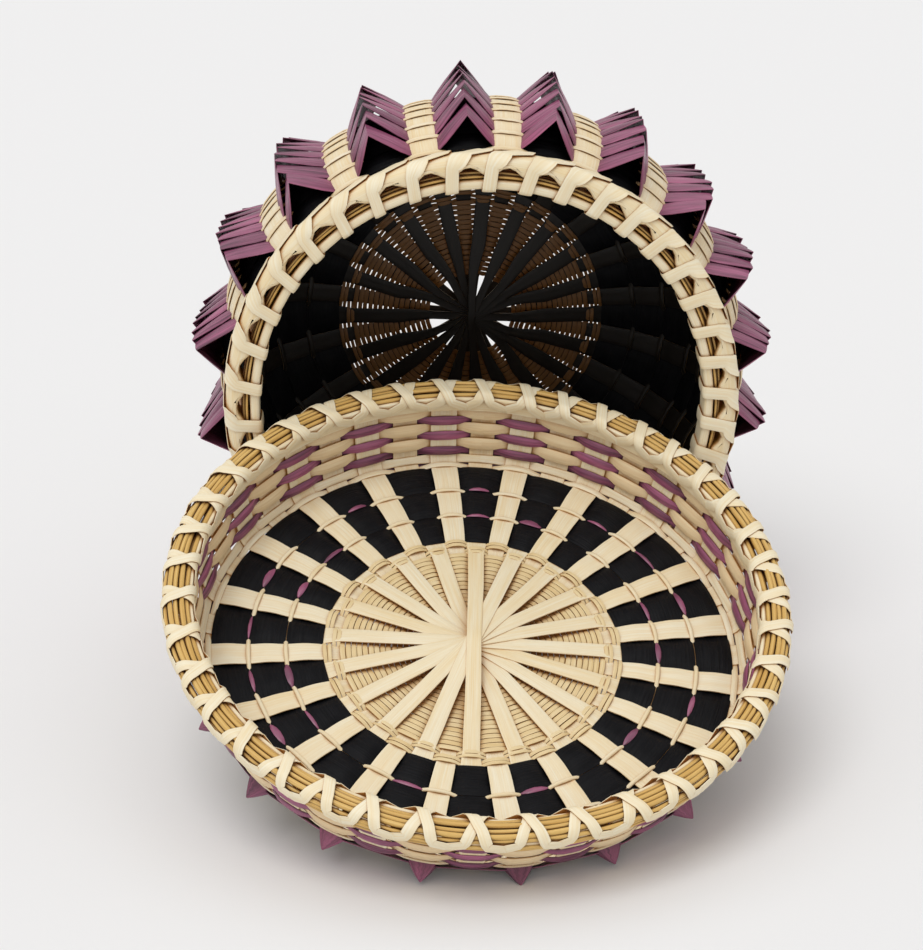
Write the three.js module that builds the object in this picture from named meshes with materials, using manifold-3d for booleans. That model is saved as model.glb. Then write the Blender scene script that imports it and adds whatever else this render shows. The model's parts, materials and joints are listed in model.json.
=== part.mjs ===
// A round black ash splint basket lying on its side, with its cap leaning in front of it.
// Millimetres and degrees, +Z up, +Y away from the viewer, origin under the middle on the floor.
// Both pieces are woven over forty standards: twenty lie outside the weave and twenty inside it.
import * as THREE from 'three';
import Module from 'manifold-3d';

// Splints, the flat strips that everything is woven from
const CLEARANCE = 0.3;
const STANDARD_COUNT = 20;
const SPLINT_THICKNESS = 1;
const BASKET_OUTER_SPLINT_WIDTH = 10.8;
const LID_OUTER_SPLINT_WIDTH = 9.5;
const INNER_SPLINT_WIDTH = 7.5;
const SPLINT_WIDTH_AT_HUB = 5.6;
const WIDE_WEAVER_THICKNESS = 0.9;
const THIN_WEAVER_WIDTH = 1.5;
const THIN_WEAVER_THICKNESS = 0.8;

// Woven centre of each floor and the hub where the splints cross over it
const CENTRE_DISC_RADIUS = 56;
const CENTRE_DISC_EDGE_WIDTH = 6.3;
const CENTRE_DISC_THICKNESS = 1.2;
const HUB_RADIUS = 22;
const HUB_THICKNESS = 4;
const CROSSING_RADIUS = 17;
const CROSSING_HEIGHT = 3.4;

// Basket body, standing on its bottom
const BASKET_HEIGHT = 116;
const BOWL_CURVE_RADIUS = 56.3;
const NECK_DROP = 14.4;
const BASKET_RIM_HEIGHT = 12;
const BASKET_INNER_HOOP_THICKNESS = 3.3;
const BASKET_INNER_HOOP_FLARE = 0.5;
const BASKET_FILLER_WIDTH = 2.6;
const BASKET_OUTER_HOOP_THICKNESS = 6.5;
const BASKET_FLOOR_ROWS = 3;
const BASKET_FLOOR_ROW_PITCH = 14;
const BASKET_BOWL_ROWS = 4;
const BASKET_SHOULDER_ROWS = 5;
const BASKET_LONGEST_BEND = 22.5;

// Points, strips that fold outwards between the outer standards
const POINT_ROWS = 8;
const POINT_STRIP_THICKNESS = 0.9;
const POINT_STRIP_WIDTH = 6;
const POINT_TIP_WIDTH = 3;
const POINT_REACH = 11.9;
const POINT_REACH_SWING = 2.1;
const POINT_RISE_SHARE = 0.3;
const LID_POINT_REACH = 7.5;
const LID_POINT_STRIP_WIDTH = 5;

// Lid, lying inside up: its floor is as wide as the basket's rim that it closes
const LID_FLOOR_INSET = 2;
const LID_FLOOR_ROWS = 3;
const LID_CORNER_RADIUS = 5;
const LID_WALL_LEAN = 15;
const LID_DEPTH = 33;
const LID_RIM_HEIGHT = 9.5;
const LID_INNER_HOOP_THICKNESS = 2.6;
const LID_INNER_HOOP_FLARE = 0.1;
const LID_FILLER_WIDTH = 2.8;
const LID_OUTER_HOOP_THICKNESS = 4.4;
const LID_WALL_ROWS = 6;
const LID_LONGEST_BEND = 5;

// Rim hoops, filler strands and the strips that lash them
const RIM_SIDES = 32;
const HOOP_TOP_STEP = 0.6;
const FILLER_HEIGHT = 3.4;
const RIM_EDGE_ROUNDING = 2;
const LASHING_WIDTH = 4.6;
const LASHING_THICKNESS = 0.6;
const LASHING_CROSSING_GAP = 0.5;

// How far each winding has moved on when it leaves the inner and reaches the outer top edge
const BASKET_LASHING_LEAN = { inside: 0.1, outside: 0.45 };
const LID_LASHING_LEAN = { inside: 0.4, outside: 0.6 };

// How the standards are spread round each piece, clockwise in degrees from the top or the far side
const BASKET_SPREAD = { start: 0.6, swing: 5.4, swingTowards: 7 };
const LID_SPREAD = { start: -0.3, swing: 3.2, swingTowards: 281 };

// How the two pieces lie: the basket's mouth faces the viewer and the lid leans into it
const MOUTH_DIRECTION = new THREE.Vector3(0.04, -0.999, -0.007);
const LID_UP = new THREE.Vector3(0.065, -0.381, 0.922);
const LID_TO_THE_LEFT = 4;
const SLIDE_STEP = 5;
const SEATED_WITHIN = 0.01;

// Colours of the natural, black and purple ash and of the filler strands
const finishes = {
  natural: { color: 0xe8d6a8, roughness: 0.6 },
  black: { color: 0x16151a, roughness: 0.45 },
  purple: { color: 0x70406a, roughness: 0.5 },
  filler: { color: 0xb07c34, roughness: 0.7 },
};

const wasm = await Module();
wasm.setup();
const { degToRad } = THREE.MathUtils;
const flatSpreadRadius = CENTRE_DISC_RADIUS - CENTRE_DISC_EDGE_WIDTH;

// Closed bodies

// Makes a geometry of corner points and triangles, with its faces turned outwards
function closedGeometry(positions, triangles) {
  let volume = 0;
  const [a, b, c] = [new THREE.Vector3(), new THREE.Vector3(), new THREE.Vector3()];
  for (const [i, j, k] of triangles) {
    a.fromArray(positions, 3 * i);
    b.fromArray(positions, 3 * j);
    c.fromArray(positions, 3 * k);
    volume += a.dot(b.cross(c));
  }
  const facing = volume > 0 ? triangles : triangles.map(([i, j, k]) => [i, k, j]);
  const geometry = new THREE.BufferGeometry();
  geometry.setAttribute('position', new THREE.Float32BufferAttribute(positions, 3));
  geometry.setIndex(facing.flat());
  return geometry;
}

// Joins a row of sections, each a loop of points, into one closed body
function loft(sections, isRing) {
  const corners = sections[0].length;
  const positions = sections.flat().flatMap((p) => [p.x, p.y, p.z]);
  const triangles = [];
  const spans = isRing ? sections.length : sections.length - 1;
  for (let i = 0; i < spans; i += 1) {
    const here = i * corners;
    const next = ((i + 1) % sections.length) * corners;
    for (let j = 0; j < corners; j += 1) {
      const k = (j + 1) % corners;
      triangles.push([here + j, next + j, next + k]);
      triangles.push([here + j, next + k, here + k]);
    }
  }
  if (!isRing) {
    const last = (sections.length - 1) * corners;
    for (let j = 1; j < corners - 1; j += 1) {
      triangles.push([0, j, j + 1]);
      triangles.push([last, last + j + 1, last + j]);
    }
  }
  return closedGeometry(positions, triangles);
}

// A point at an azimuth, a radius and a height, moved sideways along the tangent
function polar(azimuth, radius, height, sideways = 0) {
  const angle = degToRad(azimuth);
  const x = radius * Math.sin(angle) + sideways * Math.cos(angle);
  const y = radius * Math.cos(angle) - sideways * Math.sin(angle);
  return new THREE.Vector3(x, y, height);
}

// A ring with corners at the azimuths, whose section is a loop of [radius, height] points
function ring(azimuths, section) {
  return loft(azimuths.map((azimuth) => section.map(([r, z]) => polar(azimuth, r, z))), true);
}

// A turned body whose section starts and ends on the axis
function turned(section, segments) {
  const outline = section.map(([r, z]) => new THREE.Vector2(r, z));
  const body = new THREE.LatheGeometry(outline, segments);
  body.rotateX(Math.PI / 2);
  return toGeometry(toSolid(body));
}

// Merges the doubled points of a closed geometry and makes a solid of it
function toSolid(geometry) {
  const source = geometry.getAttribute('position');
  const index = geometry.getIndex();
  const placesKept = 1e4;
  const numbers = new Map();
  const points = [];
  const merged = [];
  for (let i = 0; i < index.count; i += 1) {
    const at = index.getX(i);
    const point = [source.getX(at), source.getY(at), source.getZ(at)];
    const key = point.map((v) => Math.round(v * placesKept) + 0).join(' ');
    if (!numbers.has(key)) {
      numbers.set(key, points.length);
      points.push(point);
    }
    merged.push(numbers.get(key));
  }
  const triangles = [];
  for (let i = 0; i < merged.length; i += 3) {
    const [a, b, c] = [merged[i], merged[i + 1], merged[i + 2]];
    if (a !== b && b !== c && c !== a) {
      triangles.push([a, b, c]);
    }
  }
  const closed = closedGeometry(points.flat(), triangles);
  return new wasm.Manifold(new wasm.Mesh({
    numProp: 3,
    vertProperties: closed.getAttribute('position').array,
    triVerts: Uint32Array.from(closed.getIndex().array),
  }));
}

function toGeometry(solid) {
  const mesh = solid.getMesh();
  const geometry = new THREE.BufferGeometry();
  geometry.setAttribute('position', new THREE.BufferAttribute(mesh.vertProperties, 3));
  geometry.setIndex(new THREE.BufferAttribute(mesh.triVerts, 1));
  return geometry;
}

// Profiles, the middle line of the weave from the centre of the floor to the rim

// Each stretch is straight or turns evenly, and the first one runs out along the radius
function makeProfile(startHeight, stretches) {
  const length = stretches.reduce((sum, stretch) => sum + stretch.length, 0);
  function at(distance) {
    let r = 0;
    let z = startHeight;
    let heading = 0;
    let left = distance;
    for (const stretch of stretches) {
      const run = Math.min(left, stretch.length);
      const turn = stretch.turn * run / stretch.length;
      const chord = turn === 0 ? run : run * Math.sin(turn / 2) / (turn / 2);
      r += chord * Math.cos(heading + turn / 2);
      z += chord * Math.sin(heading + turn / 2);
      heading += turn;
      left -= run;
      if (left <= 0) {
        break;
      }
    }
    return { r, z, outR: Math.sin(heading), outZ: -Math.cos(heading) };
  }
  return { length, stretches, at };
}

function offsetPoint(profile, distance, offset) {
  const p = profile.at(distance);
  return [p.r + offset * p.outR, p.z + offset * p.outZ];
}

// Standards

// Azimuths of the outer standards, of the inner ones midway, and of the gaps between the two
function spreadStandards({ start, swing, swingTowards }) {
  const pitch = 360 / STANDARD_COUNT;
  const outer = [];
  for (let k = 0; k < STANDARD_COUNT; k += 1) {
    const even = k * pitch;
    outer.push(even + start + swing * Math.cos(degToRad(even - swingTowards)));
  }
  const following = outer.map((azimuth, k) => outer[k + 1] ?? outer[0] + 360);
  const inner = outer.map((azimuth, k) => (azimuth + following[k]) / 2);
  const gaps = outer.flatMap((azimuth, k) => [(azimuth + inner[k]) / 2, (inner[k] + following[k]) / 2]);
  const spacings = outer.map((azimuth, k) => degToRad(following[k] - azimuth));
  return { outer, inner, gaps, narrow: Math.min(...spacings), wide: Math.max(...spacings) };
}

// How far the straight side of a ring lies inside the circle through its corners
function sideDepth(radius, spacing) {
  return radius * (1 - Math.cos(spacing / 2));
}

// Distance of the outer standards from the middle of the weave: it leaves room for the points
function outerLayer(profile, spread) {
  return (distance) => {
    const p = profile.at(distance);
    const depth = sideDepth(p.r, spread.narrow) * Math.abs(p.outR);
    const room = CENTRE_DISC_THICKNESS / 2 + POINT_STRIP_THICKNESS + 2 * CLEARANCE;
    return room - depth + SPLINT_THICKNESS / 2;
  };
}

// Distance of the inner standards: a flat splint sits deeper under the corner of a ring
function innerLayer(profile, spread) {
  return (distance) => {
    const p = profile.at(distance);
    const bow = Math.tan(spread.wide / 2) * INNER_SPLINT_WIDTH / 2 * Math.abs(p.outR);
    return -(CENTRE_DISC_THICKNESS / 2 + CLEARANCE + bow + SPLINT_THICKNESS / 2);
  };
}

// Distances along a profile where the splints bend: turning stretches are cut in equal parts
function bendDistances(profile, from, to, longest) {
  const distances = [];
  let start = 0;
  for (const stretch of profile.stretches) {
    const end = start + stretch.length;
    const low = Math.max(start, from);
    const high = Math.min(end, to);
    if (high > low) {
      const parts = stretch.turn === 0 ? 1 : Math.ceil((high - low) / longest);
      for (let i = 0; i < parts; i += 1) {
        distances.push(low + (high - low) * i / parts);
      }
    }
    start = end;
  }
  return [...distances, to];
}

// The bow of a curved stretch between two bends, which the outer splints are lifted by
function bowBetween(profile, near, far) {
  const turn = Math.acos(Math.min(1, near.outR * far.outR + near.outZ * far.outZ));
  return Math.hypot(far.r - near.r, far.z - near.z) / 2 * Math.tan(turn / 4);
}

// The line of one standard from the hub to the rim
function standardStations({ profile, layer, isOuter, fullWidth, rim, hubMiddle }) {
  const widthAt = (r) => {
    const share = (r - HUB_RADIUS) / (CENTRE_DISC_RADIUS - HUB_RADIUS);
    const spread = Math.min(1, Math.max(0, share));
    return SPLINT_WIDTH_AT_HUB + spread * (fullWidth - SPLINT_WIDTH_AT_HUB);
  };
  const hubStart = (HUB_RADIUS + CROSSING_RADIUS) / 2;
  const stations = [{ r: hubStart, z: hubMiddle, outR: 0, outZ: -1, width: widthAt(hubStart) }];
  const distances = bendDistances(profile, flatSpreadRadius, rim.weaveTop, rim.longestBend);
  distances.forEach((distance, i) => {
    const here = profile.at(distance);
    const neighbours = [distances[i - 1], distances[i + 1]].filter((d) => d !== undefined);
    const bow = Math.max(...neighbours.map((d) => bowBetween(profile, here, profile.at(d))));
    const offset = layer(distance) + (isOuter ? bow : 0);
    const [r, z] = [here.r + offset * here.outR, here.z + offset * here.outZ];
    const width = distance === rim.weaveTop ? rim.splintWidth : widthAt(r);
    stations.push({ r, z, outR: here.outR, outZ: here.outZ, width });
  });
  for (const z of [rim.hoopBottom - 2 * CLEARANCE, rim.splintTop]) {
    stations.push({ r: rim.wallRadius, z, outR: 1, outZ: 0, width: rim.splintWidth });
  }
  return stations;
}

// Ten long splints that cross at a hub, joined there into one body with twenty arms
function splintStar(azimuths, stations, hubSection) {
  let solid = toSolid(turned(hubSection, STANDARD_COUNT));
  for (const azimuth of azimuths) {
    const sections = stations.map((s) => {
      const [sideR, sideZ] = [s.outR * SPLINT_THICKNESS / 2, s.outZ * SPLINT_THICKNESS / 2];
      return [
        polar(azimuth, s.r - sideR, s.z - sideZ, -s.width / 2),
        polar(azimuth, s.r - sideR, s.z - sideZ, s.width / 2),
        polar(azimuth, s.r + sideR, s.z + sideZ, s.width / 2),
        polar(azimuth, s.r + sideR, s.z + sideZ, -s.width / 2),
      ];
    });
    solid = solid.add(toSolid(loft(sections, false)));
  }
  return toGeometry(solid);
}

// Weavers

function weaverSection(profile, from, to) {
  const side = WIDE_WEAVER_THICKNESS / 2;
  return [
    offsetPoint(profile, from, -side),
    offsetPoint(profile, to, -side),
    offsetPoint(profile, to, side),
    offsetPoint(profile, from, side),
  ];
}

// A thin weaver is split with a rounded back, so its section has three corners
function thinWeaverSection(profile, middle) {
  const side = THIN_WEAVER_THICKNESS / 2;
  return [
    offsetPoint(profile, middle - THIN_WEAVER_WIDTH / 2, -side),
    offsetPoint(profile, middle + THIN_WEAVER_WIDTH / 2, -side),
    offsetPoint(profile, middle, side),
  ];
}

// One unbroken strip that passes under each outer standard and folds out to a point between them
function pointWeaver(profile, spread, middle, { reach, swing, stripWidth, splintWidth }) {
  const centre = profile.at(middle);
  const outZ = centre.outZ * POINT_RISE_SHARE;
  const size = Math.hypot(centre.outR, outZ);
  const bend = splintWidth / 2 + CLEARANCE + POINT_STRIP_THICKNESS / 2;
  const under = CENTRE_DISC_THICKNESS / 2 + CLEARANCE
    - sideDepth(centre.r, spread.narrow) * centre.outR;
  const section = (azimuth, sideways, lift, width, back, alongR, alongZ) => {
    const low = [centre.r + lift * alongR, centre.z + lift * alongZ];
    const high = [low[0] + back * alongR, low[1] + back * alongZ];
    const [stepR, stepZ] = [-centre.outZ * width / 2, centre.outR * width / 2];
    return [
      polar(azimuth, low[0] - stepR, low[1] - stepZ, sideways),
      polar(azimuth, low[0] + stepR, low[1] + stepZ, sideways),
      polar(azimuth, high[0], high[1], sideways),
    ];
  };
  const base = (azimuth, sideways) => section(
    azimuth, sideways, under, stripWidth, POINT_STRIP_THICKNESS, centre.outR, centre.outZ);
  const fold = POINT_STRIP_THICKNESS * Math.SQRT2;
  const tip = (azimuth) => {
    const lift = reach + swing * Math.cos(degToRad(azimuth)) - fold;
    return section(azimuth, 0, lift, POINT_TIP_WIDTH, fold, centre.outR / size, outZ / size);
  };
  const sections = spread.outer.flatMap((azimuth, k) => [
    base(azimuth, -bend),
    base(azimuth, bend),
    tip(spread.inner[k]),
  ]);
  return loft(sections, true);
}

// Rims

// A strip with a rounded back wound round the rim, through the gap between each two standards
function lashing(spread, rim, { layer, clockwise }) {
  const grow = CLEARANCE + layer * (LASHING_THICKNESS + LASHING_CROSSING_GAP);
  const sag = sideDepth(rim.innerRadius, 2 * Math.PI / RIM_SIDES) + LASHING_WIDTH ** 2 / rim.innerRadius;
  const innerR = rim.innerRadius - sag - grow;
  const outerR = rim.outerRadius + grow;
  const low = rim.hoopBottom - grow;
  const high = rim.top + grow;
  const order = clockwise ? spread.gaps : spread.gaps.toReversed();
  const corner = (azimuth, r, z, outwardR, outwardZ) => {
    const [backR, backZ] = [r + LASHING_THICKNESS * outwardR, z + LASHING_THICKNESS * outwardZ];
    return [
      polar(azimuth, r, z, -LASHING_WIDTH / 2),
      polar(azimuth, r, z, LASHING_WIDTH / 2),
      polar(azimuth, backR, backZ),
    ];
  };
  const sections = order.flatMap((here, k) => {
    const turn = order[(k + 1) % order.length] - here;
    const step = turn - 360 * Math.round(turn / 360);
    return [
      corner(here, outerR, low, 1, -1),
      corner(here, innerR, low, -1, -1),
      corner(here + step * rim.lean.inside, innerR, high, -1, 1),
      corner(here + step * rim.lean.outside, outerR, high, 1, 1),
    ];
  });
  return loft(sections, false);
}

// The least distance from one winding of a lashing to the next, on the points of its sections
function leastWindingGap(geometry) {
  const points = geometry.getAttribute('position');
  const pointsPerWinding = 12;
  const [a, b] = [new THREE.Vector3(), new THREE.Vector3()];
  let least = Infinity;
  for (let i = 0; i < points.count; i += 1) {
    a.fromBufferAttribute(points, i);
    const end = Math.min(points.count, i + 2 * pointsPerWinding);
    for (let j = i + pointsPerWinding; j < end; j += 1) {
      b.fromBufferAttribute(points, j);
      least = Math.min(least, a.distanceTo(b));
    }
  }
  return least;
}

// Assembly

const assembly = new THREE.Group();
const basketGroup = new THREE.Group();
const lidGroup = new THREE.Group();
assembly.add(basketGroup, lidGroup);

function addPiece(group, name, geometry, finish) {
  const { color, roughness } = finishes[finish];
  const material = new THREE.MeshStandardMaterial({ color, roughness, metalness: 0 });
  const mesh = new THREE.Mesh(geometry, material);
  mesh.name = name;
  group.add(mesh);
}

// The woven centre of a floor, raised in the middle where its own splints cross
function addCentreDisc(group, prefix, height, { wide }) {
  const side = CENTRE_DISC_THICKNESS / 2;
  const edge = CENTRE_DISC_RADIUS * Math.cos(wide / 2) - CLEARANCE;
  addPiece(group, `${prefix}_centre_disc`, turned([
    [0, height - side],
    [edge, height - side],
    [edge, height + side],
    [HUB_RADIUS, height + side],
    [CROSSING_RADIUS, height + side + CROSSING_HEIGHT],
    [0, height + side + CROSSING_HEIGHT],
  ], STANDARD_COUNT), 'natural');
}

function addStandards(group, prefix, profile, spread, rim, outerWidth) {
  const height = profile.at(0).z;
  const insideHub = height + CENTRE_DISC_THICKNESS / 2 + CROSSING_HEIGHT + CLEARANCE;
  const outsideHub = height - CENTRE_DISC_THICKNESS / 2 - CLEARANCE;
  const hub = (low) => [
    [0, low],
    [HUB_RADIUS, low],
    [HUB_RADIUS, low + HUB_THICKNESS],
    [0, low + HUB_THICKNESS],
  ];
  const outside = outerLayer(profile, spread);
  addPiece(group, `${prefix}_inner_splints`, splintStar(spread.inner, standardStations({
    profile,
    layer: innerLayer(profile, spread),
    isOuter: false,
    fullWidth: INNER_SPLINT_WIDTH,
    rim,
    hubMiddle: insideHub + HUB_THICKNESS / 2,
  }), hub(insideHub)), 'natural');
  addPiece(group, `${prefix}_outer_splints`, splintStar(spread.outer, standardStations({
    profile,
    layer: outside,
    isOuter: true,
    fullWidth: outerWidth,
    rim,
    hubMiddle: height - outside(0),
  }), hub(outsideHub - HUB_THICKNESS)), 'natural');
}

// Rows of wide weavers with a thin weaver between each two
function addRows(group, prefix, profile, spread, edges, names) {
  const margin = THIN_WEAVER_WIDTH / 2 + CLEARANCE;
  const last = edges.length - 2;
  edges.slice(0, -1).forEach((from, i) => {
    const start = i === 0 ? from : from + margin;
    const end = i === last ? edges[i + 1] : edges[i + 1] - margin;
    const section = weaverSection(profile, start, end);
    addPiece(group, `${prefix}_${names.wide}_${i + 1}`, ring(spread.inner, section), 'black');
    if (i < last) {
      const thin = thinWeaverSection(profile, edges[i + 1]);
      addPiece(group, `${prefix}_${names.thin}_${i + 1}`, ring(spread.inner, thin), 'natural');
    }
  });
}

function addRim(group, prefix, rim) {
  const azimuths = Array.from({ length: RIM_SIDES }, (unused, k) => k * 360 / RIM_SIDES);
  const wallIn = rim.wallRadius - SPLINT_THICKNESS / 2 - CLEARANCE;
  const wallOut = rim.wallRadius + SPLINT_THICKNESS / 2;
  const clearOut = wallOut + sideDepth(wallOut, 2 * Math.PI / RIM_SIDES) + CLEARANCE;
  const faceAt = (z, low, high) => {
    return THREE.MathUtils.mapLinear(z, rim.hoopBottom, rim.top, low, high);
  };
  const innerFace = (z) => faceAt(z, wallIn, rim.innerRadius + rim.innerHoop);
  const outerFace = (z) => faceAt(z, clearOut, rim.outerRadius - rim.outerHoop);
  const hoopTop = rim.top - HOOP_TOP_STEP;
  addPiece(group, `${prefix}_rim_inner_hoop`, ring(azimuths, [
    [rim.innerRadius, rim.hoopBottom],
    [innerFace(rim.hoopBottom), rim.hoopBottom],
    [innerFace(hoopTop), hoopTop],
    [rim.innerRadius, hoopTop],
  ]), 'natural');
  addPiece(group, `${prefix}_rim_outer_hoop`, ring(azimuths, [
    [outerFace(rim.hoopBottom), rim.hoopBottom],
    [rim.outerRadius - RIM_EDGE_ROUNDING, rim.hoopBottom],
    [rim.outerRadius, rim.hoopBottom + RIM_EDGE_ROUNDING],
    [rim.outerRadius, rim.top - RIM_EDGE_ROUNDING],
    [rim.outerRadius - RIM_EDGE_ROUNDING, rim.top],
    [outerFace(rim.top), rim.top],
  ]), 'natural');
  const fillerLow = rim.splintTop + CLEARANCE;
  const fillerTop = fillerLow + FILLER_HEIGHT;
  addPiece(group, `${prefix}_rim_filler`, ring(azimuths, [
    [innerFace(fillerLow) + CLEARANCE, fillerLow],
    [outerFace(fillerLow) - CLEARANCE, fillerLow],
    [outerFace(fillerTop) - CLEARANCE, fillerTop],
    [innerFace(fillerTop) + CLEARANCE, fillerTop],
  ]), 'filler');
}

function addLashing(group, name, spread, rim, course) {
  const geometry = lashing(spread, rim, course);
  console.log(`${name}: least gap to itself ${leastWindingGap(geometry).toFixed(2)} mm`);
  addPiece(group, name, geometry, 'natural');
}

// Radii of a rim's inner and outer face: hoop, filler and hoop lie about the wall's standards
function rimRadii(wallRadius, { innerHoop, flare, filler, outerHoop }) {
  const innerRadius = wallRadius - SPLINT_THICKNESS / 2 - CLEARANCE - flare - innerHoop;
  const outerRadius = innerRadius + innerHoop + filler + outerHoop + 2 * CLEARANCE;
  return { innerRadius, outerRadius, wallRadius, innerHoop, outerHoop };
}

// Width of the standards between the hoops: what the lashing's gaps leave
function splintWidthInRim(spread, radius) {
  return radius * spread.narrow / 2 - LASHING_WIDTH - 2 * CLEARANCE;
}

// Sets a group's +Z along a direction, with its +Y as near to a hint as it goes
function place(group, origin, up, hint) {
  const z = up.clone().normalize();
  const y = hint.clone().addScaledVector(z, -hint.dot(z)).normalize();
  const x = new THREE.Vector3().crossVectors(y, z);
  group.quaternion.setFromRotationMatrix(new THREE.Matrix4().makeBasis(x, y, z));
  group.position.copy(origin);
}

// Basket body

const bottomWeaveHeight = CENTRE_DISC_THICKNESS / 2 + CLEARANCE + HUB_THICKNESS;
const basketHoopBottom = BASKET_HEIGHT - BASKET_RIM_HEIGHT;
const neckRadius = flatSpreadRadius + BOWL_CURVE_RADIUS - NECK_DROP;
const neckRise = basketHoopBottom - bottomWeaveHeight - BOWL_CURVE_RADIUS;
const shoulderRadius = (neckRise ** 2 + NECK_DROP ** 2) / (2 * NECK_DROP);
const shoulderTurn = Math.asin(neckRise / shoulderRadius);
const basketProfile = makeProfile(bottomWeaveHeight, [
  { length: flatSpreadRadius, turn: 0 },
  { length: BOWL_CURVE_RADIUS * Math.PI / 2, turn: Math.PI / 2 },
  { length: shoulderRadius * shoulderTurn, turn: shoulderTurn },
]);
const basketSpread = spreadStandards(BASKET_SPREAD);
const underHoop = LASHING_THICKNESS + 3 * CLEARANCE + SPLINT_THICKNESS * Math.sin(shoulderTurn);
const basketRim = {
  ...rimRadii(neckRadius, {
    innerHoop: BASKET_INNER_HOOP_THICKNESS,
    flare: BASKET_INNER_HOOP_FLARE,
    filler: BASKET_FILLER_WIDTH,
    outerHoop: BASKET_OUTER_HOOP_THICKNESS,
  }),
  hoopBottom: basketHoopBottom,
  splintTop: BASKET_HEIGHT - HOOP_TOP_STEP - FILLER_HEIGHT - CLEARANCE,
  top: BASKET_HEIGHT,
  splintWidth: splintWidthInRim(basketSpread, neckRadius),
  weaveTop: basketProfile.length - underHoop / Math.cos(shoulderTurn),
  longestBend: BASKET_LONGEST_BEND,
  lean: BASKET_LASHING_LEAN,
};

// Edges of the rows: over the floor, up to the belly and over the shoulder
const basketRows = [CENTRE_DISC_RADIUS];
const addRowEdges = (count, end) => {
  const pitch = (end - basketRows.at(-1)) / count;
  for (let i = 0; i < count; i += 1) {
    basketRows.push(basketRows.at(-1) + pitch);
  }
};
const belly = flatSpreadRadius + BOWL_CURVE_RADIUS * Math.PI / 2;
addRowEdges(BASKET_FLOOR_ROWS, CENTRE_DISC_RADIUS + BASKET_FLOOR_ROWS * BASKET_FLOOR_ROW_PITCH);
addRowEdges(BASKET_BOWL_ROWS, belly);
addRowEdges(BASKET_SHOULDER_ROWS, basketRim.weaveTop);

addCentreDisc(basketGroup, 'basket', bottomWeaveHeight, basketSpread);
addStandards(basketGroup, 'basket', basketProfile, basketSpread, basketRim, BASKET_OUTER_SPLINT_WIDTH);
addRows(basketGroup, 'basket', basketProfile, basketSpread, basketRows, {
  wide: 'black_weaver',
  thin: 'thin_weaver',
});
for (let i = 0; i < POINT_ROWS; i += 1) {
  const row = basketRows.length - 2 - POINT_ROWS + i;
  const middle = (basketRows[row] + basketRows[row + 1]) / 2;
  addPiece(basketGroup, `basket_point_weaver_${i + 1}`, pointWeaver(basketProfile, basketSpread, middle, {
    reach: POINT_REACH,
    swing: POINT_REACH_SWING,
    stripWidth: POINT_STRIP_WIDTH,
    splintWidth: BASKET_OUTER_SPLINT_WIDTH,
  }), 'purple');
}
addRim(basketGroup, 'basket', basketRim);
addLashing(basketGroup, 'basket_rim_lashing', basketSpread, basketRim, { layer: 0, clockwise: true });

// Lid

const lidLean = degToRad(LID_WALL_LEAN);
const lidSpread = spreadStandards(LID_SPREAD);
const lidHoopBottom = LID_DEPTH - LID_RIM_HEIGHT;
const lidFloorRadius = basketRim.outerRadius - LID_FLOOR_INSET;
const lidFloorPitch = (lidFloorRadius - CENTRE_DISC_RADIUS) / LID_FLOOR_ROWS;
const lidCornerTurn = Math.PI / 2 - lidLean;
const lidCornerRise = LID_CORNER_RADIUS * (1 - Math.sin(lidLean));
const lidWallLength = (lidHoopBottom - lidCornerRise) / Math.cos(lidLean);
const lidProfile = makeProfile(0, [
  { length: lidFloorRadius, turn: 0 },
  { length: LID_CORNER_RADIUS * lidCornerTurn, turn: lidCornerTurn },
  { length: lidWallLength, turn: 0 },
]);
const lidCorner = lidFloorRadius + LID_CORNER_RADIUS * lidCornerTurn / 2;
const lidWallRadius = lidProfile.at(lidProfile.length).r;
const lidRim = {
  ...rimRadii(lidWallRadius, {
    innerHoop: LID_INNER_HOOP_THICKNESS,
    flare: LID_INNER_HOOP_FLARE,
    filler: LID_FILLER_WIDTH,
    outerHoop: LID_OUTER_HOOP_THICKNESS,
  }),
  hoopBottom: lidHoopBottom,
  splintTop: LID_DEPTH - HOOP_TOP_STEP - FILLER_HEIGHT - CLEARANCE,
  top: LID_DEPTH,
  splintWidth: splintWidthInRim(lidSpread, lidWallRadius),
  weaveTop: lidProfile.length - 2 * LASHING_THICKNESS - LASHING_CROSSING_GAP - 3 * CLEARANCE,
  longestBend: LID_LONGEST_BEND,
  lean: LID_LASHING_LEAN,
};

const lidRows = [CENTRE_DISC_RADIUS];
for (let i = 0; i < LID_FLOOR_ROWS; i += 1) {
  lidRows.push(lidRows.at(-1) + lidFloorPitch);
}
addCentreDisc(lidGroup, 'lid', 0, lidSpread);
addStandards(lidGroup, 'lid', lidProfile, lidSpread, lidRim, LID_OUTER_SPLINT_WIDTH);
addRows(lidGroup, 'lid', lidProfile, lidSpread, lidRows, { wide: 'black_weaver', thin: 'thin_weaver' });
addPiece(lidGroup, 'lid_point_weaver', pointWeaver(lidProfile, lidSpread, lidCorner, {
  reach: LID_POINT_REACH,
  swing: 0,
  stripWidth: LID_POINT_STRIP_WIDTH,
  splintWidth: LID_OUTER_SPLINT_WIDTH,
}), 'purple');

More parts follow.
